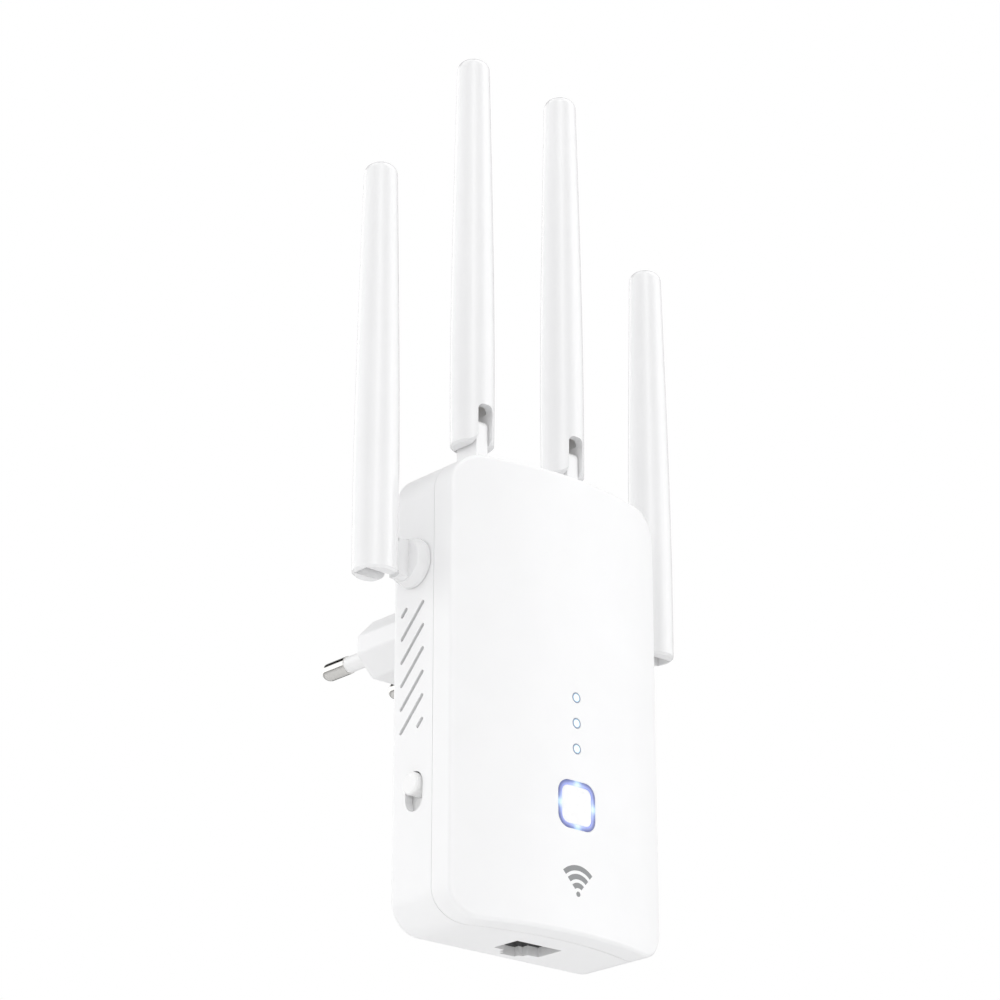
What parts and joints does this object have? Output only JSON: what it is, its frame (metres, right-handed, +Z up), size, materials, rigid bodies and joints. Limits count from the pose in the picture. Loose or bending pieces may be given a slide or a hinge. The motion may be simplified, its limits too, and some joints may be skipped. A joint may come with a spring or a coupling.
{
  "type": "wifi range extender",
  "caption": "Plug-in wifi range extender: bowed two-part housing with a two-pin mains plug, network socket, ring-lit button, slide switch and antennas that swivel and fold.",
  "frame": {"origin": "midway between the two mains pins, on the plug's end face that meets the wall socket", "axes": "+Z up along the antennas, -Y out of the bowed front, +Y along the plug pins into the wall"},
  "size_m": [0.0882, 0.0712, 0.2016],
  "materials": {
    "housing_white": "satin moulded ABS, fine spark texture",
    "antenna_white": "satin moulded TPE and ABS",
    "plug_white": "satin moulded plastic",
    "sleeve_white": "smooth insulating sleeve",
    "pin_metal": "nickel plated brass",
    "switch_white": "smooth moulded plastic",
    "light_blue": "clear acrylic lit blue from behind",
    "contact_brass": "gold flashed spring brass",
    "board_green": "solder-masked glass epoxy",
    "chip_black": "moulded epoxy",
    "part_black": "moulded plastic",
    "socket_grey": "moulded plastic",
    "ferrite": "sintered ferrite",
    "copper": "varnished copper wire",
    "aluminium": "bead blasted",
    "tinplate": "tinned sheet",
    "steel": "zinc plated",
    "led_amber": "phosphor covered LED",
    "pad_grey": "soft silicone",
    "capacitor_blue": "epoxy dipped ceramic"
  },
  "bodies": {
    "housing": {"front_cover": "housing_white", "rear_case": "housing_white", "case_screws": "steel", "plug_housing": "plug_white", "plug_pin_left": "pin_metal", "plug_pin_right": "pin_metal", "plug_sleeve_left": "sleeve_white", "plug_sleeve_right": "sleeve_white", "mains_contact_left": "contact_brass", "mains_contact_right": "contact_brass", "pin_retainer": "part_black", "retainer_screw": "steel", "power_board": "board_green", "main_board": "board_green", "board_screws": "steel", "board_header": "part_black", "transformer_core": "ferrite", "transformer_winding": "copper", "input_capacitor_upper": "part_black", "input_capacitor_lower": "part_black", "output_capacitor": "part_black", "fuse_resistor": "capacitor_blue", "power_controller": "chip_black", "safety_capacitor": "capacitor_blue", "rf_shield": "tinplate", "wifi_processor": "chip_black", "thermal_pad": "pad_grey", "heat_spreader": "aluminium", "memory_chip": "chip_black", "led_chips": "led_amber", "status_light_pipe": "light_blue", "ring_light_guide": "light_blue", "tact_switch": "part_black", "mode_switch_body": "part_black", "ethernet_jack": "socket_grey", "ethernet_contacts": "contact_brass", "ethernet_transformer": "chip_black", "coax_leads": "part_black", "coax_connectors": "contact_brass"},
    "button": {"button_cap": "switch_white", "tact_plunger": "part_black"},
    "mode_switch": {"mode_switch_knob": "switch_white", "mode_switch_slider": "part_black"},
    "left_swivel": {"left_antenna_swivel": "antenna_white", "left_antenna_clip": "steel"},
    "left_blade": {"left_antenna_blade": "antenna_white", "left_antenna_radiator": "contact_brass"},
    "top_left_swivel": {"top_left_antenna_swivel": "antenna_white", "top_left_antenna_clip": "steel"},
    "top_left_blade": {"top_left_antenna_blade": "antenna_white", "top_left_antenna_radiator": "contact_brass"},
    "top_right_swivel": {"top_right_antenna_swivel": "antenna_white", "top_right_antenna_clip": "steel"},
    "top_right_blade": {"top_right_antenna_blade": "antenna_white", "top_right_antenna_radiator": "contact_brass"},
    "right_swivel": {"right_antenna_swivel": "antenna_white", "right_antenna_clip": "steel"},
    "right_blade": {"right_antenna_blade": "antenna_white", "right_antenna_radiator": "contact_brass"}
  },
  "joints": [
    {"name": "left_swivel_turn", "type": "hinge", "parent": "housing", "child": "left_swivel", "pos_m": [-0.02875, -0.03435, 0.0057], "axis": [-1, 0, 0], "range_deg": [-90, 90]},
    {"name": "left_fold", "type": "hinge", "parent": "left_swivel", "child": "left_blade", "pos_m": [-0.04075, -0.03435, 0.0043], "axis": [0, -1, 0], "range_deg": [0, 90]},
    {"name": "top_left_swivel_turn", "type": "hinge", "parent": "housing", "child": "top_left_swivel", "pos_m": [-0.0131, -0.03435, 0.0277], "axis": [0, 0, 1], "range_deg": [-180, 0]},
    {"name": "top_left_fold", "type": "hinge", "parent": "top_left_swivel", "child": "top_left_blade", "pos_m": [-0.0131, -0.03295, 0.0397], "axis": [1, 0, 0], "range_deg": [0, 90]},
    {"name": "top_right_swivel_turn", "type": "hinge", "parent": "housing", "child": "top_right_swivel", "pos_m": [0.0131, -0.03435, 0.0277], "axis": [0, 0, 1], "range_deg": [0, 180]},
    {"name": "top_right_fold", "type": "hinge", "parent": "top_right_swivel", "child": "top_right_blade", "pos_m": [0.0131, -0.03295, 0.0397], "axis": [1, 0, 0], "range_deg": [0, 90]},
    {"name": "right_swivel_turn", "type": "hinge", "parent": "housing", "child": "right_swivel", "pos_m": [0.02875, -0.03435, 0.0057], "axis": [1, 0, 0], "range_deg": [-90, 90]},
    {"name": "right_fold", "type": "hinge", "parent": "right_swivel", "child": "right_blade", "pos_m": [0.04075, -0.03435, 0.0043], "axis": [0, 1, 0], "range_deg": [0, 90]},
    {"name": "button_press", "type": "slide", "parent": "housing", "child": "button", "axis": [0, 1, 0], "range_m": [0, 0.00035], "stiffness_N_per_m": 2500, "springref_m": -0.0003},
    {"name": "mode_slide", "type": "slide", "parent": "housing", "child": "mode_switch", "axis": [0, 0, -1], "range_m": [0, 0.003]}
  ]
}
